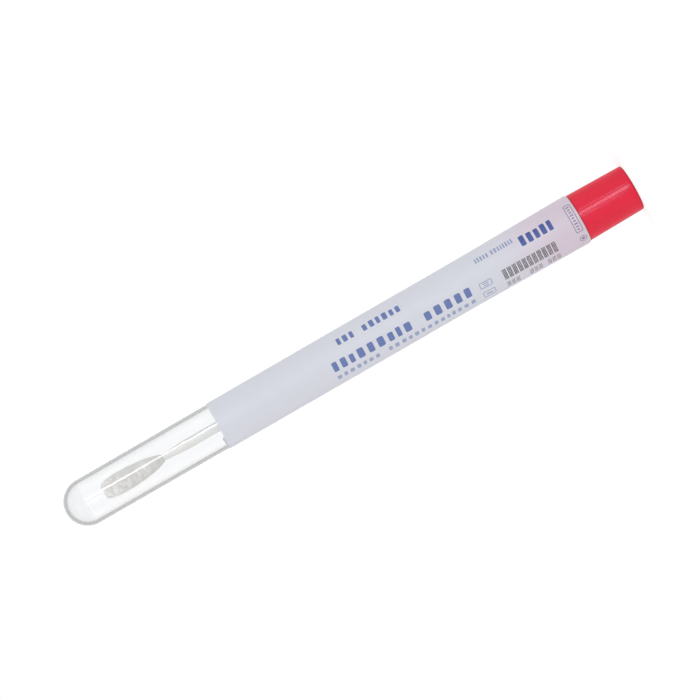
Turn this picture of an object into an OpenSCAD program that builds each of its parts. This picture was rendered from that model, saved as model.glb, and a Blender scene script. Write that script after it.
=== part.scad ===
// Specimen swab tube: a thin, round-bottomed tube with a wrapped label, closed by a fluted plug
// stopper that carries a snappable swab on its socket boss.
//
// A round tube rolls when it is laid down, so it stands on the flat crown of its stopper: the
// origin is the middle of the crown, +Z runs up the common axis to the tube's round foot, and the
// label's front faces -Y. Heights are measured from the crown. All sizes are in millimetres.

/* [Tube] */
// Length of the tube from its rim to the outside of its foot
tube_l = 142; // [120:1:180]
// Outside diameter of the lip band at the mouth
mouth_d = 12.8; // [12.6:0.1:16]
// Outside diameter where the flare of the mouth meets the long body
body_d = 12.2; // [11.8:0.1:12.6]
// Outside diameter where the long body meets the round foot
foot_d = 11.8; // [11:0.1:12.2]
// Length of the flare, measured from the rim
flare_l = 30; // [22:1:50]
// Wall of the body and of the foot
wall = 0.9; // [0.7:0.05:1.1]
// Wall at the mouth, around the plug
mouth_wall = 1; // [0.9:0.05:1.3]
// Height of the plain cylindrical lip band
lip_h = 1.2; // [0.8:0.1:2.5]
// Radius of the lip's outer edge
lip_round = 0.25; // [0.1:0.05:0.4]
// Lead-in chamfer at the mouth of the bore
lead_in = 0.3; // [0.1:0.05:0.4]
// Length of straight bore that is left past the plug
bore_spare = 2; // [1:0.5:5]

/* [Label] */
// Length of the label along the tube
label_l = 100; // [60:1:105]
// Angle that the label wraps
label_wrap = 240; // [180:5:260]
// Angle from the front to the middle of the label
label_turn = 37; // [0:1:40]
// Thickness of the film
label_t = 0.08; // [0.05:0.01:0.15]
// Thickness of the adhesive between film and tube
label_glue = 0.02; // [0.01:0.01:0.05]
// Bare distance between the tube's rim and the label
label_margin = 0.3; // [0.2:0.1:6]
// Radius of the label's corners
label_corner = 1.5; // [0.5:0.1:3]

/* [Stopper grip] */
// How far the tube's lip stands proud of the stopper's skirt
lip_proud = 0.25; // [0.1:0.05:0.5]
// Length of the grip from the crown to the tube's rim
grip_l = 15.1; // [12:0.1:20]
// How much smaller the crown's radius is than the skirt's
crown_inset = 0.25; // [0.1:0.05:0.5]
// Radius of the crown's rounded edge
crown_round = 0.7; // [0.4:0.1:1.2]
// Height of the plain collar between the flutes and the rim
collar_h = 0.7; // [0.4:0.1:2]
// Number of flutes round the grip
flute_count = 52; // [36:1:56]
// Depth of a flute
flute_depth = 0.14; // [0.1:0.01:0.18]
// Radius of the round cutter that leaves a flute
flute_r = 0.26; // [0.24:0.01:0.3]

/* [Stopper plug] */
// Length of the plug inside the tube
plug_l = 10; // [7:0.5:14]
// Radial clearance of the sealing beads in the bore
bead_gap = 0.04; // [0.02:0.01:0.08]
// Height of a sealing bead above the plug's wall
bead_rise = 0.2; // [0.1:0.05:0.3]
// Radius of a bead's round section
bead_r = 0.5; // [0.4:0.05:0.7]
// Number of sealing beads
bead_count = 2; // [1:1:3]
// Distance from the rim to the first bead, and from bead to bead
bead_pitch = 2.6; // [1.5:0.1:2.7]
// How much smaller the plug's radius is at its open end
plug_inset = 0.25; // [0.1:0.05:0.4]
// Wall of the plug
plug_wall = 1.1; // [0.8:0.05:1.4]
// Thickness of the crown
crown_wall = 1.6; // [1:0.1:3]
// Wall of the socket boss round the shaft
boss_wall = 1; // [0.7:0.05:1.2]
// How far the boss stops short of the plug's open end
boss_short = 4; // [1:0.5:6]
// Depth of the socket in the boss
socket_l = 12; // [6:0.5:14]
// Radial clearance of the shaft in its socket
socket_gap = 0.02; // [0.01:0.01:0.05]
// Number of webs between the boss and the grip
web_count = 4; // [3:1:6]
// Thickness of a web
web_t = 0.8; // [0.5:0.1:1.2]
// Length of the webs inside the grip
web_l = 9; // [4:0.5:12]

/* [Swab] */
// Diameter of the shaft
shaft_d = 2.5; // [2:0.1:2.8]
// Distance from the tip of the bud to the outside of the tube's foot
tip_short = 10; // [6:0.5:20]
// Diameter of the bud at its fullest
bud_d = 5.2; // [4:0.1:6.4]
// Length of the bud
bud_l = 17; // [12:0.5:24]
// Diameter of the shaft's seat inside the bud
seat_d = 1.6; // [1.2:0.1:1.8]
// Length of the bud beyond the end of the shaft
bud_over = 4; // [2:0.5:8]
// Length of the taper from the shaft to its seat
seat_taper = 6; // [3:0.5:10]
// Diameter left at the break notch
notch_d = 1.3; // [1:0.1:1.6]
// Distance from the tip of the bud to the break notch
notch_back = 80; // [60:1:95]
// Slope of the notch's two sides, as length for each unit of depth
notch_slope = 1.6; // [1:0.1:2.5]

/* [Hidden] */
$fn = 96;
FINE = 24;          // sides of small round cutters, beads and edges
PASS = 0.01;        // how far a cutter passes through a face
FRONT = 270;        // direction of -Y, as an angle from +X

// Tube: radii, and heights above the crown
mouth_r = mouth_d / 2;
body_r = body_d / 2;
foot_r = foot_d / 2;
rim_z = grip_l;
lip_z = rim_z + lip_h;
flare_z = rim_z + flare_l;
overall_l = rim_z + tube_l;
foot_z = overall_l - foot_r;

// Stopper
bore_r = mouth_r - mouth_wall;
bore_z = rim_z + plug_l + bore_spare;
skirt_r = mouth_r - lip_proud;
crown_r = skirt_r - crown_inset;
draft = atan(crown_inset / grip_l);
plug_r = bore_r - bead_gap - bead_rise;
plug_z = rim_z + plug_l;
plug_end_r = plug_r - plug_inset;
hollow_r = plug_end_r - plug_wall;
boss_z = plug_z - boss_short;

// Shaft and bud
shaft_r = shaft_d / 2;
seat_r = seat_d / 2;
shaft_z = boss_z - socket_l;
tip_z = overall_l - tip_short;
bud_z = tip_z - bud_l;
seat_z = tip_z - bud_over;
notch_z = tip_z - notch_back;
notch_run = (shaft_d - notch_d) / 2 * notch_slope;

// Outside radius of the tube at height z, below its round foot
function outside_r(z) =
    z < lip_z ? mouth_r :
    z < flare_z ? mouth_r + (body_r - mouth_r) * (z - lip_z) / (flare_z - lip_z) :
    body_r + (foot_r - body_r) * (z - flare_z) / (foot_z - flare_z);

// Radius of the wound bud at t, from 0 at its lower end to 1 at its tip: a long blunt drop
function wound_r(t) = bud_d / 2 * pow(sin(180 * pow(1 - t, 0.62)), 0.36);

// Quarter of a disc that turns into a round foot
module foot_quarter(r) {
    intersection() {
        circle(r);
        square(r);
    }
}

// Half section of the tube's outside
module tube_outside() {
    polygon([
        [0, rim_z], [mouth_r - lip_round, rim_z], [mouth_r, rim_z + lip_round], [mouth_r, lip_z],
        [body_r, flare_z], [foot_r, foot_z], [0, foot_z],
    ]);
    translate([mouth_r - lip_round, rim_z + lip_round]) circle(lip_round, $fn = FINE);
    translate([0, foot_z]) foot_quarter(foot_r);
}

// Half section of the tube's inside, with the straight bore for the plug
module tube_inside() {
    inner_r = foot_r - wall;
    polygon([
        [0, rim_z - PASS], [bore_r + lead_in + PASS, rim_z - PASS], [bore_r, rim_z + lead_in],
        [bore_r, bore_z], [body_r - wall, flare_z], [inner_r, foot_z], [0, foot_z],
    ]);
    translate([0, foot_z]) foot_quarter(inner_r);
}

module tube() {
    color([0.88, 0.91, 0.94, 0.45])
        rotate_extrude()
            difference() {
                tube_outside();
                tube_inside();
            }
}

// Cutter for one corner of the label. up is 1 at its upper end, and side is 1 where it starts.
module label_corner_cut(z, up, turn, side) {
    translate([0, 0, z])
        rotate([90, 0, turn + 90])
            linear_extrude(height = 2 * mouth_r)
                difference() {
                    translate([side > 0 ? -PASS : -label_corner, up > 0 ? -label_corner : -PASS])
                        square(label_corner + PASS);
                    translate([side * label_corner, -up * label_corner])
                        circle(label_corner, $fn = 2 * FINE);
                }
}

module label() {
    low = rim_z + label_margin;
    high = low + label_l;
    start = FRONT - label_turn - label_wrap / 2;
    heights = concat(low < lip_z ? [low, lip_z] : [low], [flare_z, high]);
    color([0.85, 0.83, 0.88])
        difference() {
            rotate([0, 0, start])
                rotate_extrude(angle = label_wrap)
                    polygon([
                        for (z = heights) [outside_r(z) + label_glue, z],
                        for (i = [len(heights) - 1:-1:0])
                            [outside_r(heights[i]) + label_glue + label_t, heights[i]],
                    ]);
            for (up = [-1, 1])
                for (side = [-1, 1])
                    label_corner_cut(up > 0 ? high : low, up,
                        side > 0 ? start : start + label_wrap, side);
        }
}

// Half section of the grip, the crown's rounded edge and the plug with its beads
module stopper_section() {
    edge_r = crown_r - crown_round;
    polygon([[0, 0], [edge_r, 0], [crown_r, crown_round], [skirt_r, rim_z], [0, rim_z]]);
    translate([edge_r, crown_round]) circle(crown_round, $fn = 2 * FINE);
    polygon([
        [0, rim_z - PASS], [plug_r, rim_z - PASS], [plug_r, rim_z + bead_pitch],
        [plug_end_r, plug_z - lead_in], [plug_end_r - lead_in, plug_z], [0, plug_z],
    ]);
    for (i = [1:bead_count])
        translate([plug_r + bead_rise - bead_r, rim_z + i * bead_pitch])
            circle(bead_r, $fn = FINE);
}

// One flute: a round cutter that runs down the drafted grip from the collar past the crown
module flute() {
    translate([skirt_r, 0, rim_z])
        rotate([0, 180 + draft, 0])
            translate([flute_depth - flute_r, 0, collar_h])
                cylinder(r = flute_r, h = grip_l, $fn = FINE);
}

// Hollow of the plug and grip, without the boss and its webs
module stopper_hollow() {
    difference() {
        translate([0, 0, crown_wall])
            cylinder(r = hollow_r, h = plug_z - crown_wall + PASS);
        cylinder(r = shaft_r + boss_wall, h = boss_z);
        for (i = [0:web_count - 1])
            rotate([0, 0, 360 * i / web_count])
                translate([0, -web_t / 2, crown_wall])
                    cube([skirt_r, web_t, web_l]);
    }
}

module cap() {
    color([0.86, 0.13, 0.22])
        difference() {
            rotate_extrude() stopper_section();
            for (i = [0:flute_count - 1])
                rotate([0, 0, 360 * i / flute_count])
                    flute();
            stopper_hollow();
            translate([0, 0, shaft_z])
                cylinder(r = shaft_r + socket_gap, h = socket_l + PASS);
        }
}

module swab_shaft() {
    color([0.95, 0.95, 0.93])
        rotate_extrude()
            polygon([
                [0, shaft_z], [shaft_r, shaft_z],
                [shaft_r, notch_z - notch_run], [notch_d / 2, notch_z],
                [shaft_r, notch_z + notch_run], [shaft_r, bud_z - seat_taper],
                [seat_r, bud_z], [seat_r, seat_z], [0, seat_z],
            ]);
}

module swab_bud() {
    steps = 16;
    color([0.98, 0.98, 0.96])
        rotate_extrude()
            difference() {
                polygon([
                    [0, bud_z],
                    for (i = [0:steps - 1])
                        [max(seat_r, wound_r(i / steps)), bud_z + bud_l * i / steps],
                    [0, tip_z],
                ]);
                translate([0, bud_z - PASS]) square([seat_r, seat_z - bud_z + PASS]);
            }
}

tube();
label();
cap();
swab_shaft();
swab_bud();
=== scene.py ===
"""Specimen swab tube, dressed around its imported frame.

A thin flared tube stands on the crown of its fluted plug stopper. It carries a wrapped film label
with generic print, and holds a snappable shaft with a wound fibre bud. All lengths are in metres,
+Z runs from the stopper's crown to the tube's round foot, and the label's front faces -Y.
"""

import logging
import math
import random
from dataclasses import dataclass, field
from enum import Enum
from typing import Optional, Sequence, Union

import bmesh
import bpy
from bmesh.types import BMesh, BMFace, BMVert
from bpy.types import Material, NodeOutputs, Object, World
from bpy.types import NodeSocket as Socket
from mathutils import Matrix, Vector, noise

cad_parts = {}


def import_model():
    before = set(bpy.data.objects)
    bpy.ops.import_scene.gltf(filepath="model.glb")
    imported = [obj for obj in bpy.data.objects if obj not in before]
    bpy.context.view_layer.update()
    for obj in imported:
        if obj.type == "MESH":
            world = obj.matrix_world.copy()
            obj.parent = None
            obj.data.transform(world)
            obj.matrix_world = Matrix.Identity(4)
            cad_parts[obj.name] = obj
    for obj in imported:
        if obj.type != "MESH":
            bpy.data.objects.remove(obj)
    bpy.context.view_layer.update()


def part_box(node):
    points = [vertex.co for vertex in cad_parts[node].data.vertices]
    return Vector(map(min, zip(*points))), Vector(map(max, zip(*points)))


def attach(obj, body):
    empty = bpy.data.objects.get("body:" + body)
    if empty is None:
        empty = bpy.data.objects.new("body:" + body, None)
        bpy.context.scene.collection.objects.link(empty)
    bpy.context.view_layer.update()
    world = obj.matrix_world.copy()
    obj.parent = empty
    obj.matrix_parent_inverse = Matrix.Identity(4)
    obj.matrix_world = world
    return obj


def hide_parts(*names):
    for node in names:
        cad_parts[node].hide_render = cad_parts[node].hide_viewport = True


log = logging.getLogger("swab_tube")

MM = 0.001
WELD = 1e-7
NOISE_SPAN = (0.3, 0.7)

Pair = tuple[float, float]
Triple = tuple[float, float, float]
Colour = tuple[float, float, float, float]
Value = Union[float, Sequence[float], Socket]


def srgb(*display: int) -> Colour:
    """Returns display values of red, green and blue, each of 0 to 255, as linear light."""
    parts = (value / 255 for value in display)
    return (*(p / 12.92 if p <= 0.04045 else ((p + 0.055) / 1.055) ** 2.4 for p in parts), 1.0)


# ---- the frame


@dataclass(frozen=True)
class Datum:
    """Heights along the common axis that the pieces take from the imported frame."""

    rim: float
    foot: float
    shaft_low: float
    shaft_high: float
    bud_low: float
    bud_high: float
    label_low: float
    label_high: float
    plug_end: float

    @classmethod
    def from_frame(cls) -> "Datum":
        """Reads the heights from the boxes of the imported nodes.

        Returns:
            The heights.
        """
        tube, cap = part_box("tube"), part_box("cap")
        shaft, bud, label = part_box("swab_shaft"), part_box("swab_bud"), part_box("label")
        ends = [corner.z for box in (tube, shaft, bud, label) for corner in box]
        return cls(*ends, plug_end=cap[1].z)


# ---- making meshes


@dataclass
class HalfSection:
    """The half section of a turned piece, drawn point by point as (radius, height)."""

    points: list[Pair] = field(default_factory=list)

    def to(self, radius: float, height: float) -> "HalfSection":
        """Draws a straight line to a point."""
        self.points.append((radius, height))
        return self

    def arc(
        self, centre: Pair, radius: float, start: float, end: float, count: int
    ) -> "HalfSection":
        """Draws a round arc.

        Args:
            centre: Centre of the arc, as (radius, height).
            radius: Radius of the arc.
            start: First angle in degrees, from the outward direction towards +Z.
            end: Last angle in degrees.
            count: How many segments the arc has.

        Returns:
            This half section.
        """
        for i in range(count + 1):
            turn = math.radians(start + (end - start) * i / count)
            out = max(0.0, centre[0] + radius * math.cos(turn))
            self.to(out, centre[1] + radius * math.sin(turn))
        return self

    def spun(self, steps: int) -> BMesh:
        """Turns the section once round the axis, from pole to pole.

        Args:
            steps: How many steps the full turn has.

        Returns:
            A closed mesh whose faces point outwards.
        """
        bm = bmesh.new()
        rail = [bm.verts.new((radius, 0, height)) for radius, height in self.points]
        edges = [bm.edges.new(pair) for pair in zip(rail, rail[1:])]
        bmesh.ops.spin(
            bm,
            geom=[*rail, *edges],
            cent=(0, 0, 0),
            axis=(0, 0, 1),
            dvec=(0, 0, 0),
            angle=math.tau,
            steps=steps,
            use_merge=True,
            use_normal_flip=False,
            use_duplicate=False,
        )
        bmesh.ops.remove_doubles(bm, verts=bm.verts, dist=WELD)
        bmesh.ops.recalc_face_normals(bm, faces=bm.faces)
        return bm


def rounded(bm: BMesh, geom: Sequence, affect: str, size: float, segments: int) -> list[BMVert]:
    """Rounds vertices or edges.

    Args:
        bm: The mesh.
        geom: What is rounded.
        affect: "VERTICES" or "EDGES".
        size: Size of the rounding.
        segments: How many segments it has.

    Returns:
        The new vertices.
    """
    return bmesh.ops.bevel(
        bm,
        geom=geom,
        offset=size,
        offset_type="OFFSET",
        affect=affect,
        segments=segments,
        profile=0.5,
        material=-1,
    )["verts"]


def linked(name: str, data: bpy.types.ID) -> Object:
    """Puts a new object into the scene.

    Args:
        name: Name of the object.
        data: Its mesh, lamp or camera.

    Returns:
        The new object.
    """
    made = bpy.data.objects.new(name, data)
    bpy.context.scene.collection.objects.link(made)
    return made


def finished(bm: BMesh, name: str, material: Material, sharp: float = 35) -> Object:
    """Turns a worked mesh into a smooth-shaded piece at the origin.

    Args:
        bm: The worked mesh, which is freed.
        name: Name of the piece.
        material: Its finish.
        sharp: Edges that turn by more than this many degrees stay sharp.

    Returns:
        The new piece.
    """
    limit = math.radians(sharp)
    for face in bm.faces:
        face.smooth = True
    for edge in bm.edges:
        edge.smooth = len(edge.link_faces) == 2 and edge.calc_face_angle(0) < limit
    mesh = bpy.data.meshes.new(name)
    bm.to_mesh(mesh)
    bm.free()
    mesh.materials.append(material)
    log.info("%s: %d vertices, %d faces", name, len(mesh.vertices), len(mesh.polygons))
    return linked(name, mesh)


def fixed(piece: Object, body: str, replaces: Sequence[str] = ()) -> Object:
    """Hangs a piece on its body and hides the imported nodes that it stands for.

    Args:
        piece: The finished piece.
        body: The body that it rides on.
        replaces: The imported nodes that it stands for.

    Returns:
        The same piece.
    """
    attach(piece, body)
    if replaces:
        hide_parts(*replaces)
    return piece


# ---- finishes


class Recipe:
    """The nodes of one material or world, with short calls for what the finishes share."""

    def __init__(self, owner: Union[str, World]) -> None:
        """Starts with nothing but the output.

        Args:
            owner: A name for a new material, or the world that the nodes are for.
        """
        fresh = isinstance(owner, str)
        self.owner = bpy.data.materials.new(owner) if fresh else owner
        self.owner.use_nodes = True
        self.tree = self.owner.node_tree
        self.tree.nodes.clear()
        self.output = self.tree.nodes.new(f"ShaderNodeOutput{'Material' if fresh else 'World'}")

    @property
    def height(self) -> Socket:
        """The height above the stopper's crown."""
        place = self.node("ShaderNodeTexCoord")["Object"]
        return self.node("ShaderNodeSeparateXYZ", {0: place})["Z"]

    def node(
        self, kind: str, inputs: Optional[dict[Union[str, int], Value]] = None, **settings: object
    ) -> NodeOutputs:
        """Adds a node.

        Args:
            kind: The node's type name.
            inputs: A value or a link for each named or numbered input.
            **settings: Values for the node's own settings.

        Returns:
            The new node's outputs.
        """
        made = self.tree.nodes.new(kind)
        for key, value in settings.items():
            setattr(made, key, value)
        for key, value in (inputs or {}).items():
            if isinstance(value, Socket):
                self.tree.links.new(value, made.inputs[key])
            else:
                made.inputs[key].default_value = value
        return made.outputs

    def noise(self, scale: Triple, detail: float = 3, rough: float = 0.5) -> Socket:
        """Returns a soft noise of about 0 to 1, with a scale along each axis.

        Args:
            scale: How many features a metre has along each axis.
            detail: How many finer layers it has.
            rough: How strong the finer layers are.

        Returns:
            The noise.
        """
        place = self.node("ShaderNodeTexCoord")["Object"]
        place = self.node("ShaderNodeMapping", {"Vector": place, "Scale": scale})[0]
        inputs = {"Vector": place, "Scale": 1, "Detail": detail, "Roughness": rough}
        return self.node("ShaderNodeTexNoise", inputs)[0]

    def ranged(self, value: Socket, source: Pair, target: Pair, kind: str = "LINEAR") -> Socket:
        """Returns a value moved from one range into another, and held inside it."""
        inputs = {0: value, 1: source[0], 2: source[1], 3: target[0], 4: target[1]}
        return self.node("ShaderNodeMapRange", inputs, clamp=True, interpolation_type=kind)[0]

    def spread(self, value: Socket, target: Pair) -> Socket:
        """Returns a noise spread over a range."""
        return self.ranged(value, NOISE_SPAN, target)

    def mixed(self, share: Value, first: Value, second: Value) -> Socket:
        """Returns the blend of two colours."""
        return self.node("ShaderNodeMix", {0: share, 6: first, 7: second}, data_type="RGBA")[2]

    def maths(self, operation: str, *values: Value, **settings: object) -> Socket:
        """Returns a sum, product or other operation on numbers."""
        inputs = dict(enumerate(values))
        return self.node("ShaderNodeMath", inputs, operation=operation, **settings)[0]

    def bumped(self, height: Socket, strength: float, depth: float) -> Socket:
        """Returns a normal that a height roughens by a depth in metres."""
        inputs = {"Height": height, "Strength": strength, "Distance": depth}
        return self.node("ShaderNodeBump", inputs)[0]

    def surface(self, shader: Socket) -> Union[Material, World]:
        """Links the shader to the output and returns the material or world."""
        self.tree.links.new(shader, self.output.inputs["Surface"])
        return self.owner

    def plastic(self, inputs: dict[str, Value]) -> Material:
        """Returns the material, with one surface shader of these inputs."""
        return self.surface(self.node("ShaderNodeBsdfPrincipled", inputs)[0])


@dataclass(frozen=True)
class ClearPolypropylene:
    """Natural clear polypropylene, faintly cloudy, which lets soft light through unbent."""

    tint: Colour = (0.995, 0.996, 0.997, 1.0)
    cloud: Colour = (0.984, 0.988, 0.992, 1.0)
    flow: Triple = (420, 420, 90)
    clouded: Pair = (0.35, 0.7)
    ior: float = 1.49
    clear: float = 0.985
    passed: Colour = (0.70, 0.745, 0.79, 1.0)
    density: float = 70
    lamps: Colour = (0.99, 0.991, 0.992, 1.0)

    def material(self) -> Material:
        """Builds the material: glass with a faint cloud in it and a pale volume.

        Returns:
            The tube's material.
        """
        make = Recipe("clear_polypropylene")
        clouded = make.ranged(make.noise(self.flow), self.clouded, (0, 1))
        inputs = {
            "Base Color": make.mixed(clouded, self.tint, self.cloud),
            "Roughness": 0,
            "IOR": self.ior,
            "Transmission Weight": self.clear,
        }
        glass = make.node("ShaderNodeBsdfPrincipled", inputs)[0]
        clear = make.node("ShaderNodeBsdfTransparent", {"Color": self.lamps})[0]
        path = make.node("ShaderNodeLightPath")
        inside = {"Color": self.passed, "Density": self.density}
        volume = make.node("ShaderNodeVolumeAbsorption", inside)[0]
        make.tree.links.new(volume, make.output.inputs["Volume"])
        for kind in ("Is Shadow Ray", "Is Diffuse Ray"):
            glass = make.node("ShaderNodeMixShader", {0: path[kind], 1: glass, 2: clear})[0]
        return make.surface(glass)


@dataclass(frozen=True)
class MilkyLip:
    """The same plastic where it is thickest, milky and satin."""

    milk: Colour = srgb(228, 231, 240)
    rough: float = 0.35
    ior: float = 1.49

    def material(self) -> Material:
        """Builds the material."""
        inputs = {"Base Color": self.milk, "Roughness": self.rough, "IOR": self.ior}
        return Recipe("milky_lip").plastic(inputs)


@dataclass(frozen=True)
class LabelFilm:
    """Satin label film that lets a little light through, with a painted pink glow of the red plug's
    light near the rim.
    """

    film: Colour = srgb(231, 233, 241)
    painted_plug_glow: Colour = srgb(233, 220, 233)
    painted_glow_low: float = 3 * MM
    painted_glow_high: float = 27 * MM
    cloud: Triple = (160, 160, 90)
    mottle: Pair = (-0.08, 0.08)
    grain: Triple = (5200, 5200, 3600)
    grain_bump: float = 0.05
    grain_depth: float = 0.01 * MM
    sheen: Triple = (700, 700, 320)
    rough: Pair = (0.44, 0.56)
    ior: float = 1.46
    through: float = 0.2

    def material(self, rim: float) -> Material:
        """Builds the material.

        Args:
            rim: Height of the tube's rim, where the painted pink glow is strongest.

        Returns:
            The film's material.
        """
        make = Recipe("label_film")
        # Painted light: the base colour turns pink towards the rim, standing in for the red plug's
        # light shining through the film.
        reach = (rim + self.painted_glow_low, rim + self.painted_glow_high)
        painted_plug_glow = make.ranged(make.height, reach, (1, 0), "SMOOTHSTEP")
        mottled = make.spread(make.noise(self.cloud), self.mottle)
        share = make.maths("ADD", painted_plug_glow, mottled, use_clamp=True)
        colour = make.mixed(share, self.film, self.painted_plug_glow)
        grain = make.noise(self.grain, detail=2)
        inputs = {
            "Base Color": colour,
            "Roughness": make.spread(make.noise(self.sheen), self.rough),
            "IOR": self.ior,
            "Normal": make.bumped(grain, self.grain_bump, self.grain_depth),
        }
        film = make.node("ShaderNodeBsdfPrincipled", inputs)[0]
        lit = make.node("ShaderNodeBsdfTranslucent", {"Color": colour})[0]
        return make.surface(make.node("ShaderNodeMixShader", {0: self.through, 1: film, 2: lit})[0])


class Ink(Enum):
    """The inks of the label's print."""

    BOLD_BLUE = srgb(48, 70, 148)
    BLUE = srgb(94, 115, 174)
    PALE_BLUE = srgb(150, 163, 196)
    VIOLET = srgb(135, 123, 153)
    BLACK = srgb(36, 26, 28)


@dataclass(frozen=True)
class PrintedInk:
    """An ink on the film, slightly uneven where it took."""

    ink: Ink
    grain: Triple = (2600, 2600, 2600)
    thinned: Pair = (0.9, 0.055)
    rough: Pair = (0.42, 0.55)
    ior: float = 1.48

    def material(self) -> Material:
        """Builds the material.

        Returns:
            The ink's material.
        """
        make = Recipe(f"ink_{self.ink.name.lower()}")
        uneven = make.spread(make.noise(self.grain), (0, 1))
        share, lift = self.thinned
        thin = (*(share * channel + lift for channel in self.ink.value[:3]), 1.0)
        inputs = {
            "Base Color": make.mixed(uneven, self.ink.value, thin),
            "Roughness": make.ranged(uneven, (0, 1), self.rough),
            "IOR": self.ior,
        }
        return make.plastic(inputs)


@dataclass(frozen=True)
class StopperPlastic:
    """Red polyethylene: satin, with faint flow marks, and a painted shade at the skirt's edge."""

    red: Colour = srgb(233, 18, 60)
    deep: Colour = srgb(226, 11, 52)
    shaded: Colour = srgb(208, 6, 40)
    painted_shade_low: float = 0.5 * MM
    painted_shade_high: float = 0.15 * MM
    flow: Triple = (330, 330, 110)
    grain: Triple = (1800, 1800, 1800)
    rough: Pair = (0.28, 0.32)
    ior: float = 1.45
    blend: float = 0.5
    facing: Pair = (0.2, 0.8)
    gloss: Pair = (0.5, 0.04)

    def material(self, grip: float) -> Material:
        """Builds the material.

        Args:
            grip: Height of the skirt's edge, which lies in the tube's shade, painted there as a
                darker red.

        Returns:
            The stopper's material.
        """
        make = Recipe("red_polyethylene")
        flow = make.spread(make.noise(self.flow), (0, 1))
        height = make.height
        # Painted shade: a band by the skirt's edge is mixed towards a darker red, where the tube
        # shades it.
        edge = (grip - self.painted_shade_low, grip - self.painted_shade_high)
        near = make.ranged(height, edge, (0, 1), "SMOOTHSTEP")
        over = make.maths("LESS_THAN", height, grip + self.painted_shade_high)
        shade = make.maths("MULTIPLY", near, over)
        colour = make.mixed(shade, make.mixed(flow, self.red, self.deep), self.shaded)
        turned = make.node("ShaderNodeLayerWeight", {"Blend": self.blend})["Facing"]
        inputs = {
            "Base Color": colour,
            "Roughness": make.spread(make.noise(self.grain), self.rough),
            "IOR": self.ior,
            "Specular IOR Level": make.ranged(turned, self.facing, self.gloss),
        }
        return make.plastic(inputs)


@dataclass(frozen=True)
class ShaftPlastic:
    """White polystyrene of the swab's shaft, with faint draw lines along it."""

    white: Colour = srgb(240, 240, 236)
    shade: Colour = srgb(230, 230, 226)
    lines: Triple = (2400, 2400, 40)
    line_bump: float = 0.15
    line_depth: float = 0.01 * MM
    rough: Pair = (0.3, 0.42)
    ior: float = 1.55
    lit: float = 0.1
    lit_depth: float = 0.5 * MM

    def material(self) -> Material:
        """Builds the material.

        Returns:
            The shaft's material.
        """
        make = Recipe("white_polystyrene")
        lines = make.noise(self.lines)
        inputs = {
            "Base Color": make.mixed(lines, self.white, self.shade),
            "Roughness": make.spread(lines, self.rough),
            "IOR": self.ior,
            "Subsurface Weight": self.lit,
            "Subsurface Scale": self.lit_depth,
            "Normal": make.bumped(lines, self.line_bump, self.line_depth),
        }
        return make.plastic(inputs)


@dataclass(frozen=True)
class WoundViscose:
    """White viscose fibre: matt, soft at its edge, with fine lines across the winding."""

    name: str
    bump: float
    white: Colour = srgb(252, 251, 249)
    shade: Colour = srgb(229, 227, 223)
    fibres: Triple = (700, 700, 9000)
    clumps: Triple = (900, 900, 1400)
    shaded: Pair = (0.12, 0.4)
    depth: float = 0.04 * MM
    rough: Pair = (0.8, 0.95)
    ior: float = 1.47
    sheen: float = 0.35
    sheen_rough: float = 0.4

    def material(self) -> Material:
        """Builds the material.

        Returns:
            The fibre's material.
        """
        make = Recipe(self.name)
        fibres = make.noise(self.fibres, detail=4, rough=0.6)
        clumps = make.noise(self.clumps)
        shade = make.ranged(make.maths("MULTIPLY", fibres, clumps), self.shaded, (1, 0))
        inputs = {
            "Base Color": make.mixed(shade, self.white, self.shade),
            "Roughness": make.spread(clumps, self.rough),
            "IOR": self.ior,
            "Sheen Weight": self.sheen,
            "Sheen Roughness": self.sheen_rough,
            "Normal": make.bumped(fibres, self.bump, self.depth),
        }
        return make.plastic(inputs)


# ---- the tube


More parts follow.
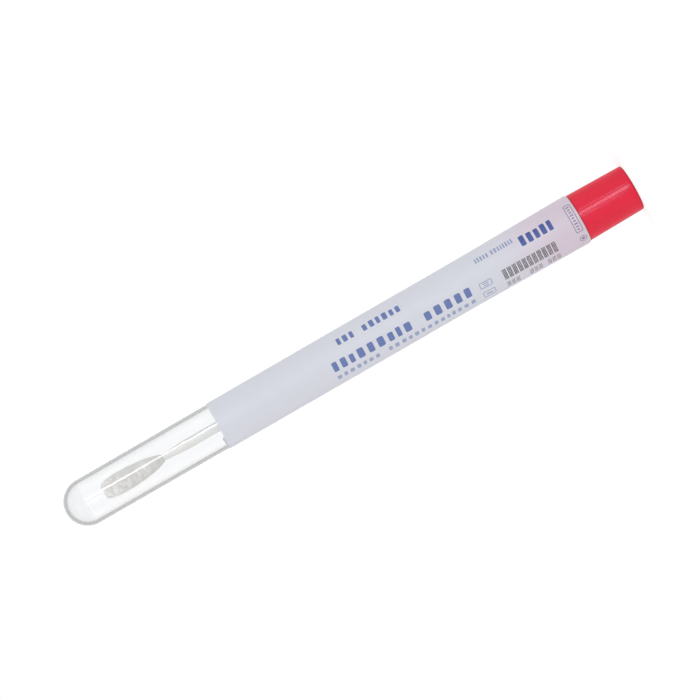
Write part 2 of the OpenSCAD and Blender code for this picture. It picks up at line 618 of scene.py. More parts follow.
@dataclass(frozen=True)
class SpecimenTube:
    """The thin, round-bottomed tube, flared towards its mouth."""

    datum: Datum
    mouth_radius: float = 6.4 * MM
    body_radius: float = 6.1 * MM
    foot_radius: float = 5.9 * MM
    flare_length: float = 30 * MM
    wall: float = 0.9 * MM
    mouth_wall: float = 1.0 * MM
    lip_height: float = 1.2 * MM
    lip_round: float = 0.25 * MM
    lip_milk: float = 0.55 * MM
    lip_steps: int = 6
    lead_in: float = 0.3 * MM
    bore_spare: float = 2 * MM
    steps: int = 160
    foot_steps: int = 24

    def outside(self, height: float) -> float:
        """Returns the outside radius at a height between the rim and the round foot.

        Args:
            height: The height.

        Returns:
            The radius.
        """
        lip, flare = self.datum.rim + self.lip_height, self.datum.rim + self.flare_length
        foot = self.datum.foot - self.foot_radius
        if height <= lip:
            return self.mouth_radius
        if height <= flare:
            share = (height - lip) / (flare - lip)
            return self.mouth_radius + (self.body_radius - self.mouth_radius) * share
        share = (height - flare) / (foot - flare)
        return self.body_radius + (self.foot_radius - self.body_radius) * share

    def section(self) -> HalfSection:
        """Draws the wall from the outer pole of the foot, round the lip, to the inner pole.

        Returns:
            The wall's half section.
        """
        rim = self.datum.rim
        centre = (0.0, self.datum.foot - self.foot_radius)
        flare = rim + self.flare_length
        bore = self.mouth_radius - self.mouth_wall
        lip = (self.mouth_radius - self.lip_round, rim + self.lip_round)
        return (
            HalfSection()
            .arc(centre, self.foot_radius, 90, 0, self.foot_steps)
            .to(self.body_radius, flare)
            .to(self.mouth_radius, rim + self.lip_height)
            .to(self.mouth_radius, rim + self.lip_milk)
            .arc(lip, self.lip_round, 0, -90, self.lip_steps)
            .to(bore + self.lead_in, rim)
            .to(bore, rim + self.lead_in)
            .to(bore, self.datum.plug_end + self.bore_spare)
            .to(self.body_radius - self.wall, flare)
            .arc(centre, self.foot_radius - self.wall, 0, 90, self.foot_steps)
        )

    def build(self) -> Object:
        """Spins the tube, makes its lip milky and hangs it on its body.

        Returns:
            The tube.
        """
        bm = self.section().spun(self.steps)
        piece = finished(bm, "tube_wall", ClearPolypropylene().material())
        piece.data.materials.append(MilkyLip().material())
        outer = (self.mouth_radius - self.lip_round) * math.cos(math.pi / self.steps)
        for face in piece.data.polygons:
            low = face.center.z < self.datum.rim + self.lip_milk
            face.material_index = int(low and face.center.xy.length > outer)
        return fixed(piece, "tube_body", ["tube"])


# ---- the label and its print


@dataclass(frozen=True)
class Wrap:
    """Lays flat work round the tube: its across goes round, its along up and its depth out."""

    tube: SpecimenTube
    pitch: float = math.radians(3)

    @property
    def radius(self) -> float:
        """The radius at which lengths across the flat work keep their size."""
        return self.tube.mouth_radius

    def across(self, degrees: float) -> float:
        """Returns how far across the flat work an angle from the front lies."""
        return math.radians(degrees) * self.radius

    def cut(self, bm: BMesh) -> None:
        """Cuts flat work along the lines where the wrapped surface bends.

        Args:
            bm: The flat work.
        """
        spans = [vert.co.x for vert in bm.verts]
        pitch = self.pitch * self.radius
        first, last = math.ceil(min(spans) / pitch), math.floor(max(spans) / pitch)
        bends = [((i * pitch, 0, 0), (1, 0, 0)) for i in range(first, last + 1)]
        for level in (self.tube.lip_height, self.tube.flare_length):
            bends.append(((0, self.tube.datum.rim + level, 0), (0, 1, 0)))
        for point, normal in bends:
            geometry = [*bm.verts, *bm.edges, *bm.faces]
            bmesh.ops.bisect_plane(bm, geom=geometry, dist=WELD, plane_co=point, plane_no=normal)

    def lay(self, bm: BMesh, low: float, high: float) -> None:
        """Cuts flat work, gives it thickness and lays it on the tube.

        Args:
            bm: Flat faces in the plane of x across and y along.
            low: Height of the work's underside above the tube's outside.
            high: Height of its upper side.
        """
        self.cut(bm)
        raised = bmesh.ops.extrude_face_region(bm, geom=bm.faces[:])["geom"]
        top = [item for item in raised if isinstance(item, BMVert)]
        bmesh.ops.translate(bm, verts=top, vec=(0, 0, high - low))
        for vert in bm.verts:
            across, along, depth = vert.co
            out = self.tube.outside(along) + low + depth
            turn = across / self.radius
            vert.co = (-out * math.sin(turn), -out * math.cos(turn), along)
        bmesh.ops.recalc_face_normals(bm, faces=bm.faces)


@dataclass
class FlatWork:
    """Flat shapes on one sheet, placed across and along it and then skewed as the label is."""

    wrap: Wrap
    skew: float
    bm: BMesh = field(default_factory=bmesh.new)

    def block(
        self,
        place: Pair,
        size: Pair,
        corner: float,
        pivot: Vector,
        line: float = 0,
        segments: int = 3,
    ) -> None:
        """Adds a rounded block, or an outline where a line width is given.

        Args:
            place: Its middle, across and along.
            size: Its size, across and along.
            corner: Radius of its corners.
            pivot: The point that the skew turns it about.
            line: Width of the outline, or 0 for a solid block.
            segments: How many segments each corner has.
        """
        made = bmesh.ops.create_grid(self.bm, x_segments=1, y_segments=1, size=0.5)["verts"]
        bmesh.ops.scale(self.bm, verts=made, vec=(*size, 1))
        made = rounded(self.bm, made, "VERTICES", corner, segments)
        self.set_down(made[0].link_faces[0], place, pivot, line)

    def disc(
        self, place: Pair, radius: float, pivot: Vector, line: float = 0, segments: int = 20
    ) -> None:
        """Adds a round dot, or a ring where a line width is given.

        Args:
            place: Its middle, across and along.
            radius: Its radius.
            pivot: The point that the skew turns it about.
            line: Width of the ring, or 0 for a dot.
            segments: How many segments it has.
        """
        made = bmesh.ops.create_circle(self.bm, cap_ends=True, segments=segments, radius=radius)
        self.set_down(made["verts"][0].link_faces[0], place, pivot, line)

    def set_down(self, face: BMFace, place: Pair, pivot: Vector, line: float) -> None:
        """Moves a face to its place, and cuts its middle out where a line width is given.

        Args:
            face: The face, made round the origin.
            place: Its middle, across and along.
            pivot: The point that the skew turns it about.
            line: Width of the outline, or 0 to keep the face whole.
        """
        if face.normal.z < 0:
            face.normal_flip()
        turn = Matrix.Rotation(self.skew, 3, "Z")
        bmesh.ops.translate(self.bm, verts=face.verts[:], vec=(*place, 0))
        bmesh.ops.rotate(self.bm, verts=face.verts[:], cent=pivot, matrix=turn)
        if line:
            bmesh.ops.inset_region(
                self.bm, faces=[face], thickness=line, use_boundary=True, use_even_offset=True
            )
            bmesh.ops.delete(self.bm, geom=[face], context="FACES")


@dataclass(frozen=True)
class Label:
    """The wrapped film label."""

    wrap: Wrap
    skew: float = math.radians(0.9)
    turn: float = 37
    width: float = 240
    corner: float = 1.5 * MM
    corner_steps: int = 8
    glue: float = 0.02 * MM
    thickness: float = 0.08 * MM

    @property
    def face(self) -> float:
        """Height of the label's face above the tube."""
        return self.glue + self.thickness

    def build(self) -> Object:
        """Cuts the label flat, wraps it and hangs it on the tube's body.

        Returns:
            The label.
        """
        datum = self.wrap.tube.datum
        middle = (self.wrap.across(self.turn), (datum.label_low + datum.label_high) / 2)
        work = FlatWork(self.wrap, self.skew)
        size = (self.wrap.across(self.width), datum.label_high - datum.label_low)
        work.block(middle, size, self.corner, Vector((*middle, 0)), segments=self.corner_steps)
        self.wrap.lay(work.bm, self.glue, self.face)
        piece = finished(work.bm, "label_wrap", LabelFilm().material(datum.rim))
        return fixed(piece, "tube_body", ["label"])


@dataclass(frozen=True)
class PrintItem:
    """Where an item of print lies, and its ink.

    Distances run from the tube's rim to its two ends, in metres, and angles from the front to
    its two edges, in degrees.
    """

    ink: Ink
    near: float
    far: float
    top: float
    bottom: float

    def bounds(self, wrap: Wrap) -> tuple[Pair, Pair, Vector]:
        """Finds the item's place on the flat work.

        Args:
            wrap: The wrap that turns angles into lengths.

        Returns:
            Its two edges across, its two ends along, and its middle.
        """
        low, high = wrap.across(self.top), wrap.across(self.bottom)
        near, far = wrap.tube.datum.rim + self.near, wrap.tube.datum.rim + self.far
        return (low, high), (near, far), Vector(((low + high) / 2, (near + far) / 2, 0))


@dataclass(frozen=True)
class PrintLine(PrintItem):
    """One line of print, as blocks that stand where words would: no block is a letter.

    Words gives how many blocks each word has.
    """

    words: tuple[int, ...]
    seed: int
    fill: float = 0.6
    gap: float = 1.0
    widths: Pair = (0.72, 1.1)
    heights: tuple[float, ...] = (1.0, 1.0, 0.94, 0.9)
    corner: float = 0.22

    def add(self, work: FlatWork) -> None:
        """Adds the line's blocks to its ink's flat work.

        Args:
            work: The flat work of the line's ink.
        """
        draw = random.Random(self.seed)
        (low, high), (along, far), middle = self.bounds(work.wrap)
        widths = [[draw.uniform(*self.widths) for _ in range(count)] for count in self.words]
        spaces = self.gap * (len(self.words) - 1)
        cell = (far - along) / (sum(map(sum, widths)) + spaces)
        for word in widths:
            for width in word:
                size = ((high - low) * draw.choice(self.heights), width * cell * self.fill)
                place = (middle.x + (high - low - size[0]) / 2, along + width * cell / 2)
                work.block(place, size, self.corner * min(size), middle)
                along += width * cell
            along += self.gap * cell


@dataclass(frozen=True)
class CoderLine(PrintItem):
    """One line from a dot coder: full cells of small dots, which form no characters."""

    seed: int
    rows: int = 8
    cells: int = 11
    columns: int = 3
    fill: float = 0.8
    dot: float = 0.175 * MM
    dot_steps: int = 8
    stray: float = 0.015 * MM
    sizes: Pair = (0.84, 1.0)
    missed: tuple[int, ...] = ()

    def add(self, work: FlatWork) -> None:
        """Adds the line's dots to the black ink's flat work.

        Args:
            work: The flat work of the black ink.
        """
        draw = random.Random(self.seed)
        (low, high), (near, far), middle = self.bounds(work.wrap)
        cell = (far - near) / self.cells
        pitch = (cell * self.fill / self.columns, (high - low) / self.rows)
        for i in range(self.cells * self.columns):
            if i // self.columns in self.missed:
                continue
            start = near + (i // self.columns) * cell
            for row in range(self.rows):
                across = low + (row + 0.5) * pitch[1] + draw.uniform(-self.stray, self.stray)
                along = start + (i % self.columns + 0.5) * pitch[0]
                along += draw.uniform(-self.stray, self.stray)
                radius = self.dot * draw.uniform(*self.sizes)
                work.disc((across, along), radius, middle, segments=self.dot_steps)


@dataclass(frozen=True)
class PrintMark(PrintItem):
    """A plain outlined mark: a rounded frame or a ring, with a few short bars inside."""

    ring: bool = False
    ring_steps: int = 28
    spot: float = 0.45
    line: float = 0.2 * MM
    corner: float = 0.3 * MM
    bars: int = 0
    bar_width: float = 0.42
    bar_lengths: tuple[float, ...] = (0.5, 0.36, 0.36)
    bar_corner: float = 0.05 * MM

    def add(self, work: FlatWork) -> None:
        """Adds the mark to its ink's flat work.

        Args:
            work: The flat work of the mark's ink.
        """
        (low, high), (near, far), middle = self.bounds(work.wrap)
        size, place = (high - low, far - near), (middle.x, middle.y)
        if self.ring:
            radius = min(size) / 2
            work.disc(place, radius, middle, self.line, self.ring_steps)
            work.disc(place, self.spot * radius, middle)
        else:
            work.block(place, size, self.corner, middle, self.line)
        step = size[0] / (self.bars + 1)
        for i in range(self.bars):
            length = size[1] * self.bar_lengths[i % len(self.bar_lengths)]
            bar = (low + (i + 1) * step, middle.y)
            work.block(bar, (self.bar_width * step, length), self.bar_corner, middle, segments=2)


@dataclass(frozen=True)
class LabelPrint:
    """All print on the label's front, one piece for each ink."""

    label: Label
    sink: float = 0.005 * MM
    proud: float = 0.012 * MM
    items: tuple[Union[PrintLine, CoderLine, PrintMark], ...] = (
        PrintLine(Ink.BOLD_BLUE, 6.5 * MM, 15.9 * MM, -31, -6.5, (5,), seed=3, fill=0.66),
        PrintLine(
            Ink.PALE_BLUE, 16.9 * MM, 27.5 * MM, -38.5, -26, (8, 5), seed=4, fill=0.56, gap=0.5
        ),
        PrintLine(Ink.BLUE, 31.2 * MM, 70 * MM, 8, 31, (5, 9), seed=5),
        PrintLine(Ink.PALE_BLUE, 31.2 * MM, 70 * MM, 42, 54, (14, 7), seed=6, fill=0.56),
        PrintLine(Ink.BLUE, 48.2 * MM, 66 * MM, -38.5, -21, (6, 3), seed=7, gap=0.9),
        PrintMark(Ink.PALE_BLUE, 26 * MM, 29.3 * MM, 17, 32, bars=2),
        PrintMark(Ink.PALE_BLUE, 26 * MM, 29.3 * MM, 42, 60, bars=1),
        PrintMark(Ink.VIOLET, 0.7 * MM, 2.6 * MM, -39.5, 28, line=0.18 * MM, bars=9),
        PrintMark(Ink.VIOLET, 0.7 * MM, 2.6 * MM, 38, 56, ring=True, line=0.18 * MM),
        CoderLine(Ink.BLACK, 8.3 * MM, 23.2 * MM, 16, 42, seed=8),
        CoderLine(
            Ink.BLACK,
            8.3 * MM,
            23.2 * MM,
            50,
            69,
            seed=9,
            rows=5,
            cells=12,
            dot=0.135 * MM,
            missed=(3, 7, 8),
        ),
    )

    def build(self) -> list[Object]:
        """Lays out each ink's shapes, wraps them and hangs them on the tube's body.

        Returns:
            One piece for each ink.
        """
        wrap = self.label.wrap
        sheets = {ink: FlatWork(wrap, self.label.skew) for ink in Ink}
        for item in self.items:
            item.add(sheets[item.ink])
        pieces = []
        for ink, work in sheets.items():
            wrap.lay(work.bm, self.label.face - self.sink, self.label.face + self.proud)
            piece = finished(work.bm, f"print_{ink.name.lower()}", PrintedInk(ink).material())
            pieces.append(fixed(piece, "tube_body"))
        return pieces


# ---- the stopper


@dataclass(frozen=True)
class Stopper:
    """The fluted grip, the beaded plug and the socket boss, all one moulding."""

    datum: Datum
    grip: float = 15.1 * MM
    skirt_radius: float = 6.15 * MM
    crown_radius: float = 5.9 * MM
    crown_round: float = 0.45 * MM
    crown_steps: int = 14
    collar: float = 0.7 * MM
    flutes: int = 52
    flute_depth: float = 0.02 * MM
    flute_radius: float = 3.19 * MM
    flute_end: float = 0.3 * MM
    end_steps: int = 5
    cuts: tuple[float, ...] = (0.25, 0.5, 0.75)
    samples: int = 14
    sharp: float = 30
    edge: float = 0.12 * MM
    edge_steps: int = 4
    plug_radius: float = 5.16 * MM
    plug_inset: float = 0.25 * MM
    lead_in: float = 0.3 * MM
    bead_rise: float = 0.2 * MM
    bead_radius: float = 0.5 * MM
    bead_steps: int = 8
    beads: int = 2
    bead_pitch: float = 2.6 * MM
    plug_wall: float = 1.1 * MM
    crown_wall: float = 1.6 * MM
    boss_radius: float = 2.25 * MM
    boss_short: float = 4 * MM
    socket_radius: float = 1.27 * MM
    webs: int = 4
    web_thickness: float = 0.8 * MM
    web_length: float = 9 * MM

    def cone(self, height: float) -> float:
        """Returns the grip's radius at a height, before it is fluted."""
        rise = (self.skirt_radius - self.crown_radius) * height / self.grip
        return self.crown_radius + rise

    def plug(self, height: float) -> float:
        """Finds the plug's radius without its beads.

        Args:
            height: The height.

        Returns:
            The radius.
        """
        start, end = self.datum.rim + self.bead_pitch, self.datum.plug_end - self.lead_in
        share = min(1.0, max(0.0, (height - start) / (end - start)))
        return self.plug_radius - self.plug_inset * share

    def section(self) -> HalfSection:
        """Draws the moulding from the middle of the crown to the floor of its socket.

        Returns:
            The moulding's half section.
        """
        datum = self.datum
        flat = self.crown_radius - self.crown_round
        drawn = HalfSection().to(0, 0).to(flat / 2, 0)
        drawn.arc((flat, self.crown_round), self.crown_round, -90, 0, self.crown_steps)
        collar = self.grip - self.collar
        steps = range(self.end_steps + 1)
        ends = [collar - self.flute_end * (1 - i / self.end_steps) for i in steps]
        for height in (*(share * collar for share in self.cuts), *ends):
            drawn.to(self.cone(height), height)
        rim = (self.skirt_radius - self.edge, self.grip - self.edge)
        drawn.arc(rim, self.edge, 0, 90, self.edge_steps).to(self.plug_radius, datum.rim)
        for i in range(self.beads):
            height = datum.rim + (i + 1) * self.bead_pitch
            centre = self.plug_radius + self.bead_rise - self.bead_radius
            turn = math.degrees(math.acos((self.plug(height) - centre) / self.bead_radius))
            drawn.arc((centre, height), self.bead_radius, -turn, turn, self.bead_steps)
        end = self.plug_radius - self.plug_inset
        hollow = end - self.plug_wall
        boss = datum.plug_end - self.boss_short
        return (
            drawn.to(end, datum.plug_end - self.lead_in)
            .to(end - self.lead_in, datum.plug_end)
            .to(hollow, datum.plug_end)
            .to(hollow, self.crown_wall)
            .to(self.boss_radius, self.crown_wall)
            .to(self.boss_radius, boss - self.edge)
            .to(self.boss_radius - self.edge, boss)
            .to(self.socket_radius, boss)
            .to(self.socket_radius, datum.shaft_low)
            .to(0, datum.shaft_low)
        )

    def groove(self, turn: float) -> float:
        """Finds how deep the fluting is.

        Args:
            turn: The angle round the grip.

        Returns:
            The depth.
        """
        pitch = math.tau / self.flutes
        beside = abs((turn + pitch / 2) % pitch - pitch / 2) * self.crown_radius
        rise = self.flute_radius**2 - beside**2
        floor = self.flute_radius - self.flute_depth
        return max(0.0, math.sqrt(rise) - floor) if rise > 0 else 0.0

    def flute(self, bm: BMesh) -> None:
        """Presses the flutes into the spun grip, down to nothing at the collar.

        Args:
            bm: The spun moulding.
        """
        top = self.grip - self.collar
        for vert in bm.verts:
            height = vert.co.z
            across = math.hypot(vert.co.x, vert.co.y)
            if height >= top or across < self.crown_radius - self.crown_round:
                continue
            left = min(1.0, (top - height) / self.flute_end)
            share = math.sqrt(1 - (1 - left) ** 2)
            depth = self.groove(math.atan2(vert.co.y, vert.co.x)) * share
            radius = min(across, self.cone(height) - depth)
            vert.co.x *= radius / across
            vert.co.y *= radius / across

    def add_webs(self, bm: BMesh) -> None:
        """Adds the webs that stand between the boss and the grip's wall.

        Args:
            bm: The spun moulding.
        """
        hollow = self.plug_radius - self.plug_inset - self.plug_wall
        size = (hollow - self.boss_radius + 2 * self.edge, self.web_thickness)
        place = ((hollow + self.boss_radius) / 2, 0, self.crown_wall + self.web_length / 2)
        top = self.crown_wall + self.web_length
        for i in range(self.webs):
            web = bmesh.ops.create_cube(bm, size=1)["verts"]
            bmesh.ops.scale(bm, verts=web, vec=(*size, self.web_length + self.edge))
            bmesh.ops.translate(bm, verts=web, vec=place)
            turn = Matrix.Rotation(math.tau * i / self.webs, 3, "Z")
            bmesh.ops.rotate(bm, verts=web, cent=(0, 0, 0), matrix=turn)
            upper = [v for v in web if v.co.z > top - self.edge]
            edges = [e for v in upper for e in v.link_edges if e.other_vert(v) in upper]
            rounded(bm, list(dict.fromkeys(edges)), "EDGES", self.edge, 2)

    def build(self) -> Object:
        """Spins, flutes and webs the stopper, and hangs it on its body.

        Returns:
            The stopper.
        """
        bm = self.section().spun(self.flutes * self.samples)
        self.flute(bm)
        self.add_webs(bm)
        finish = StopperPlastic().material(self.grip)
        piece = finished(bm, "stopper_moulding", finish, self.sharp)
        return fixed(piece, "stopper", ["cap"])


# ---- the swab


@dataclass(frozen=True)
class Shaft:
    """The swab's shaft, with its break notch and the thin seat inside the bud."""

    datum: Datum
    radius: float = 1.25 * MM
    seat_radius: float = 0.8 * MM
    seat_taper: float = 6 * MM
    notch_radius: float = 0.65 * MM
    notch_flat: float = 0.12 * MM
    notch_back: float = 80 * MM
    notch_slope: float = 1.6
    edge: float = 0.12 * MM
    edge_steps: int = 4
    steps: int = 64

    def build(self) -> Object:
        """Spins the shaft and hangs it on the stopper.

        Returns:
            The shaft.
        """
        low, high = self.datum.shaft_low, self.datum.shaft_high
        notch = self.datum.bud_high - self.notch_back
        run = (self.radius - self.notch_radius) * self.notch_slope
        section = (
            HalfSection()
            .to(0, low)
            .arc((self.radius - self.edge, low + self.edge), self.edge, -90, 0, self.edge_steps)
            .to(self.radius, notch - run)
            .to(self.notch_radius, notch - self.notch_flat / 2)
            .to(self.notch_radius, notch + self.notch_flat / 2)
            .to(self.radius, notch + run)
            .to(self.radius, self.datum.bud_low - self.seat_taper)
            .to(self.seat_radius, self.datum.bud_low)
            .to(self.seat_radius, high)
            .to(0, high)
        )
        piece = finished(section.spun(self.steps), "shaft_rod", ShaftPlastic().material())
        return fixed(piece, "stopper", ["swab_shaft"])


@dataclass(frozen=True)
class Threads:
    """How the threads of one kind are drawn at random on the bud.

    Shares are of the bud's length, sweeps are angles round it, and offs stand off its face.
    """

    count: int
    points: int
    radius: float
    shares: Pair
    sweeps: Pair
    climb: float
    offs: Pair


@dataclass(frozen=True)
class Bud:
    """The wound fibre bud: a soft body, the strands wound on it, and the fibres that stand off."""

    datum: Datum
    radius: float = 2.6 * MM
    seat_radius: float = 0.8 * MM
    lean: float = 0.62
    blunt: float = 0.36
    rings: int = 72
    steps: int = 96
    lump: float = 0.06 * MM
    lump_scale: float = 800
    band: float = 0.03 * MM
    band_pitch: float = 0.16 * MM
    sunk: float = 0.05 * MM
    body_sharp: float = 80
    body_bump: float = 0.55
    ends: Pair = (0.004, 0.995)
    strands: Threads = Threads(
        count=460,
        points=14,
        radius=0.042 * MM,
        shares=(0.02, 0.985),
        sweeps=(0.9, 3.2),
        climb=0.035,
        offs=(-0.02 * MM, 0.05 * MM),
    )
    crossing: Pair = (-0.03, 0.03)
    loose: Threads = Threads(
        count=300,
        points=7,
        radius=0.012 * MM,
        shares=(0.02, 0.99),
        sweeps=(0.15, 0.6),
        climb=0.03,
        offs=(0.08 * MM, 0.38 * MM),
    )
    senses: tuple[int, int] = (-1, 1)
    tuft: float = 0.9
    curl: float = 1.6
    thread_ends: float = 0.25
    thread_swell: float = 0.75
    thread_sharp: float = 100
    thread_bump: float = 0.1
    thread_widths: Pair = (0.7, 1.25)
    seed: int = 11

    @property
    def length(self) -> float:
        """The bud's length."""
        return self.datum.bud_high - self.datum.bud_low

    def wound(self, share: float) -> float:
        """Returns the radius at a share of the length, from 0 below to 1 at the tip."""
        drop = max(0.0, math.sin(math.pi * (1 - share) ** self.lean))
        return max(self.seat_radius, self.radius * drop**self.blunt)

    def body(self) -> Object:
        """Spins the soft body and works its lumps and winding into it.

        Returns:
            The body.
        """
        section = HalfSection().to(0, self.datum.bud_low)
        for i in range(self.rings):
            share = 0.5 - 0.5 * math.cos(math.pi * i / self.rings)
            section.to(self.wound(share), self.datum.bud_low + self.length * share)
        bm = section.to(0, self.datum.bud_high).spun(self.steps)
        for vert in bm.verts:
            across = Vector((vert.co.x, vert.co.y, 0))
            if across.length < self.seat_radius:
                continue
            lumps = noise.noise(vert.co * self.lump_scale) * self.lump
            turn = math.atan2(across.y, across.x)
            band = math.sin(turn + vert.co.z / self.band_pitch) * self.band
            vert.co += across.normalized() * (lumps + band - self.sunk)
        finish = WoundViscose("viscose_body", self.body_bump).material()
        piece = finished(bm, "bud_body", finish, self.body_sharp)
        return fixed(piece, "stopper", ["swab_bud"])

    def point(self, share: float, turn: float, off: float, lift: float = 0) -> Vector:
        """Finds a point near the body's face.

        Args:
            share: Its share of the bud's length.
            turn: Its angle round the bud.
            off: How far it stands off the face.
            lift: How far it stands towards the tip.

        Returns:
            The point.
        """
        share = min(self.ends[1], max(self.ends[0], share))
        out = self.wound(share) + off
        height = self.datum.bud_low + self.length * share + lift
        return Vector((out * math.cos(turn), out * math.sin(turn), height))

    def strand_path(self, draw: random.Random) -> list[Vector]:
        """Draws one wound strand's path over the body.

        Args:
            draw: The random numbers.

        Returns:
            The path.
        """
        kind = self.strands
        share = draw.uniform(*kind.shares)
        start = draw.uniform(0, math.tau)
        sweep = draw.uniform(*kind.sweeps)
        climb = draw.gauss(0, kind.climb) + draw.choice(self.crossing)
        arch = draw.uniform(*kind.offs)
        path = []
        for i in range(kind.points):
            along = i / (kind.points - 1)
            off = arch * math.sin(math.pi * along)
            path.append(self.point(share + climb * (along - 0.5), start + sweep * along, off))
        return path

    def loose_path(self, draw: random.Random) -> list[Vector]:
        """Draws the path of one fibre that stands off the body.

        Args:
            draw: The random numbers.

        Returns:
            The path.
        """
        kind = self.loose
        share = draw.uniform(*kind.shares)
        start = draw.uniform(0, math.tau)
        sweep = draw.uniform(*kind.sweeps) * draw.choice(self.senses)
        climb = draw.gauss(0, kind.climb)
        off = draw.uniform(*kind.offs)
        path = []
        for i in range(kind.points):
            along = i / (kind.points - 1)
            lift = off * along**2 if share > self.tuft else 0
            here = share + climb * along
            path.append(self.point(here, start + sweep * along, off * along**self.curl, lift))
        return path

    def threads(
        self, name: str, paths: Sequence[Sequence[Vector]], radius: float, seed: int
    ) -> Object:
        """Makes thin tapered threads along their paths.

        Args:
            name: Name of the piece.
            paths: The path of each thread.
            radius: Radius of a thread at its middle.
            seed: Seed of the threads' varying thickness.

        Returns:
            One piece with all the threads.
        """
        draw = random.Random(seed)
        curve = bpy.data.curves.new(name, "CURVE")
        curve.dimensions = "3D"
        curve.bevel_depth = radius
        curve.bevel_resolution = 0
        curve.use_fill_caps = True
        for path in paths:
            line = curve.splines.new("POLY")
            line.points.add(len(path) - 1)
            full = draw.uniform(*self.thread_widths)
            for i, place in enumerate(path):
                line.points[i].co = (*place, 1)
                along = i / (len(path) - 1)
                swell = math.sqrt(max(0.0, math.sin(math.pi * along)))
                line.points[i].radius = full * (self.thread_ends + self.thread_swell * swell)
        holder = bpy.data.objects.new(name, curve)
        bm = bmesh.new()
        bm.from_mesh(holder.to_mesh())
        holder.to_mesh_clear()
        bpy.data.objects.remove(holder)
        finish = WoundViscose(f"viscose_{name}", self.thread_bump).material()
        piece = finished(bm, name, finish, self.thread_sharp)
        return fixed(piece, "stopper")

    def build(self) -> list[Object]:
        """Builds the body, its wound strands and its loose fibres.

        Returns:
            The three pieces.
        """
        draw = random.Random(self.seed)
        wound = [self.strand_path(draw) for _ in range(self.strands.count)]
        loose = [self.loose_path(draw) for _ in range(self.loose.count)]
        return [
            self.body(),
            self.threads("bud_strands", wound, self.strands.radius, self.seed + 1),
            self.threads("bud_fibres", loose, self.loose.radius, self.seed + 2),
        ]


# ---- the studio


@dataclass(frozen=True)
class SoftBox:
    """A soft box that faces the object, turned round it from the camera by degrees.

    An unseen box lights the object, and neither the camera nor the clear wall shows it.
    """

    name: str
    side: float
    watts: float
    size: Pair = (0.5, 0.5)
    distance: float = 0.8
    tint: Triple = (1, 1, 1)
    unseen: bool = False

    def hang(self, centre: Vector, back: Vector) -> None:
        """Hangs the soft box.

        Args:
            centre: The point that it faces.
            back: The direction from there to the box.
        """
        data = bpy.data.lights.new(self.name, "AREA")
        data.shape = "RECTANGLE"
        data.size, data.size_y = self.size
        data.energy, data.color = self.watts, self.tint
        lamp = linked(self.name, data)
        lamp.location = centre + back * self.distance
        across = Vector((0, 0, 1)).cross(back).normalized()
        up = back.cross(across)
        lamp.rotation_euler = Matrix((across, up, back)).transposed().to_euler()
        if self.unseen:
            lamp.visible_camera = lamp.visible_transmission = False


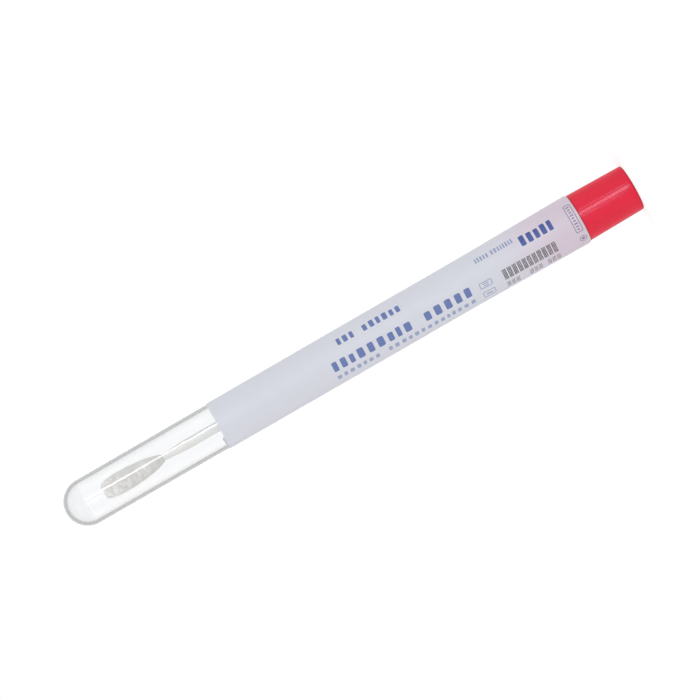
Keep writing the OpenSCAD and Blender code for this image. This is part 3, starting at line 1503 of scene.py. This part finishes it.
@dataclass(frozen=True)
class Studio:
    """A white floor and surround, soft even light, and the camera."""

    fill: float = 1.17
    unseen: float = 0.01
    inner: float = 0.5
    floor_inner: float = 0.04
    floor_white: Colour = (0.42, 0.42, 0.42, 1.0)
    floor_glow: float = 0.57
    floor_size: float = 8.0
    key: SoftBox = SoftBox("key_softbox", side=12.4, watts=0.95, size=(0.09, 0.5))
    bounce: SoftBox = SoftBox("bounce", side=-85, watts=0.35, distance=0.7, tint=(1.0, 0.78, 0.74))
    behind: SoftBox = SoftBox("behind_softbox", side=180, watts=0.8, unseen=True)
    gleam: float = 9.5
    gleam_tint: Colour = (0.62, 0.8, 1.0, 1.0)
    gleam_near: float = 12 * MM
    gleam_far: float = 1.6
    gleam_spread: float = 11
    gleam_lift: float = 0.3 * MM
    wall_bounces: int = 24
    gloss_bounces: int = 16
    lens: float = 420
    sensor: float = 36
    clip: Pair = (0.01, 50)
    view_width: float = 0.168
    tilt: float = 3.8
    rise: float = 30

    @staticmethod
    def seen(make: Recipe, inner: float) -> Socket:
        """Returns how white a ray sees the studio, and 0 for light.

        A ray from the camera, a mirror or glass sees it white. One that was thrown back inside
        the glass leaves to the dim sides of the room.

        Args:
            make: The recipe of the floor's or the surround's material.
            inner: The share of white for a ray that was thrown back inside the glass.

        Returns:
            The share of white.
        """
        path = make.node("ShaderNodeLightPath")
        some = make.maths("MAXIMUM", path["Is Camera Ray"], path["Is Glossy Ray"])
        some = make.maths("MAXIMUM", some, path["Is Transmission Ray"])
        turned = make.maths("MULTIPLY", path["Glossy Depth"], path["Transmission Depth"])
        return make.maths("MULTIPLY", some, make.ranged(turned, (0, 1), (1, inner)))

    def floor(self) -> None:
        """Lays the floor: white, with the object's shadow, and clear when seen from below."""
        make = Recipe("studio_floor")
        matt = make.node("ShaderNodeBsdfDiffuse", {0: self.floor_white})[0]
        glow = make.maths("MULTIPLY", self.seen(make, self.floor_inner), self.floor_glow)
        light = make.node("ShaderNodeEmission", {"Strength": glow})[0]
        top = make.node("ShaderNodeAddShader", {0: matt, 1: light})[0]
        below = make.node("ShaderNodeNewGeometry")["Backfacing"]
        clear = make.node("ShaderNodeBsdfTransparent")[0]
        material = make.surface(make.node("ShaderNodeMixShader", {0: below, 1: top, 2: clear})[0])
        bm = bmesh.new()
        bmesh.ops.create_grid(bm, x_segments=8, y_segments=8, size=self.floor_size)
        finished(bm, "studio_floor", material)

    def surround(self) -> None:
        """Lights the scene evenly from all round, before a surround that reads white."""
        world = bpy.data.worlds.new("studio_surround")
        bpy.context.scene.world = world
        make = Recipe(world)
        seen = self.seen(make, self.inner)
        unseen = make.maths("LESS_THAN", seen, self.unseen)
        light = make.maths("MULTIPLY", unseen, self.fill)
        strength = make.maths("ADD", seen, light)
        inputs = {"Color": (1, 1, 1, 1), "Strength": strength}
        make.surface(make.node("ShaderNodeBackground", inputs)[0])

    def back(self, side: float = 0) -> Vector:
        """Returns the direction from the object to the camera, turned to one side by degrees.

        Args:
            side: The angle.

        Returns:
            The direction.
        """
        tilt = math.radians(self.tilt)
        back = Vector((0, -math.cos(tilt), math.sin(tilt)))
        axis = Vector((0, math.sin(tilt), math.cos(tilt)))
        return Matrix.Rotation(math.radians(side), 3, axis) @ back

    def lamps(self, centre: Vector) -> None:
        """Hangs the key that draws the highlight, a warm bounce, and a box unseen behind.

        Args:
            centre: The object's centre.
        """
        for box in (self.key, self.bounce, self.behind):
            box.hang(centre, self.back(box.side))

    def card(self) -> None:
        """Lays a glowing card on the floor, which only gloss sees.

        It widens away from the object, and draws the key's highlight on down the stopper, where
        a mirror would show the floor.
        """
        make = Recipe("studio_card")
        inputs = {"Color": self.gleam_tint, "Strength": self.gleam}
        light = make.node("ShaderNodeEmission", inputs)[0]
        bm = bmesh.new()
        ends = []
        for reach in (self.gleam_near, self.gleam_far):
            for side in (-0.5, 0.5):
                turn = math.radians(self.key.side + side * self.gleam_spread)
                place = (reach * math.sin(turn), -reach * math.cos(turn), self.gleam_lift)
                ends.append(bm.verts.new(place))
        bmesh.ops.contextual_create(bm, geom=ends)
        piece = finished(bm, "studio_card", make.surface(light))
        piece.visible_camera = piece.visible_diffuse = piece.visible_transmission = False
        piece.visible_shadow = piece.visible_volume_scatter = False

    def camera(self, centre: Vector) -> None:
        """Sets the camera, rolled so that the tube rises to the stopper on the right.

        Args:
            centre: The point in the middle of its view.
        """
        data = bpy.data.cameras.new("studio_camera")
        data.lens, data.sensor_width = self.lens, self.sensor
        data.clip_start, data.clip_end = self.clip
        camera = linked("studio_camera", data)
        tilt, rise = math.radians(self.tilt), math.radians(self.rise)
        to_crown = Vector((0, -math.sin(tilt), -math.cos(tilt)))
        side = Vector((1, 0, 0))
        right = math.cos(rise) * to_crown - math.sin(rise) * side
        up = math.sin(rise) * to_crown + math.cos(rise) * side
        distance = self.view_width * self.lens / self.sensor
        camera.rotation_euler = Matrix((right, up, self.back())).transposed().to_euler()
        camera.location = centre + self.back() * distance
        bpy.context.scene.camera = camera

    def bounces(self) -> None:
        """Lets light pass on inside the clear wall, so that its edges don't go dark."""
        cycles = bpy.context.scene.cycles
        cycles.max_bounces = cycles.transmission_bounces = self.wall_bounces
        cycles.glossy_bounces = cycles.transparent_max_bounces = self.gloss_bounces

    def build(self, centre: Vector) -> None:
        """Sets up the whole studio.

        Args:
            centre: The object's centre.
        """
        self.bounces()
        self.floor()
        self.surround()
        self.lamps(centre)
        self.card()
        self.camera(centre)
        bpy.context.scene.view_settings.view_transform = "Standard"


def main() -> None:
    """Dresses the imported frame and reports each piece."""
    logging.basicConfig(level=logging.INFO, format="%(name)s: %(message)s")
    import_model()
    datum = Datum.from_frame()
    tube, stopper, shaft, bud = SpecimenTube(datum), Stopper(datum), Shaft(datum), Bud(datum)
    label = Label(Wrap(tube))
    Studio().build(Vector((0, 0, datum.foot / 2)))
    pieces = [tube.build(), label.build(), *LabelPrint(label).build()]
    pieces += [stopper.build(), shaft.build(), *bud.build()]


if __name__ == "__main__":
    main()
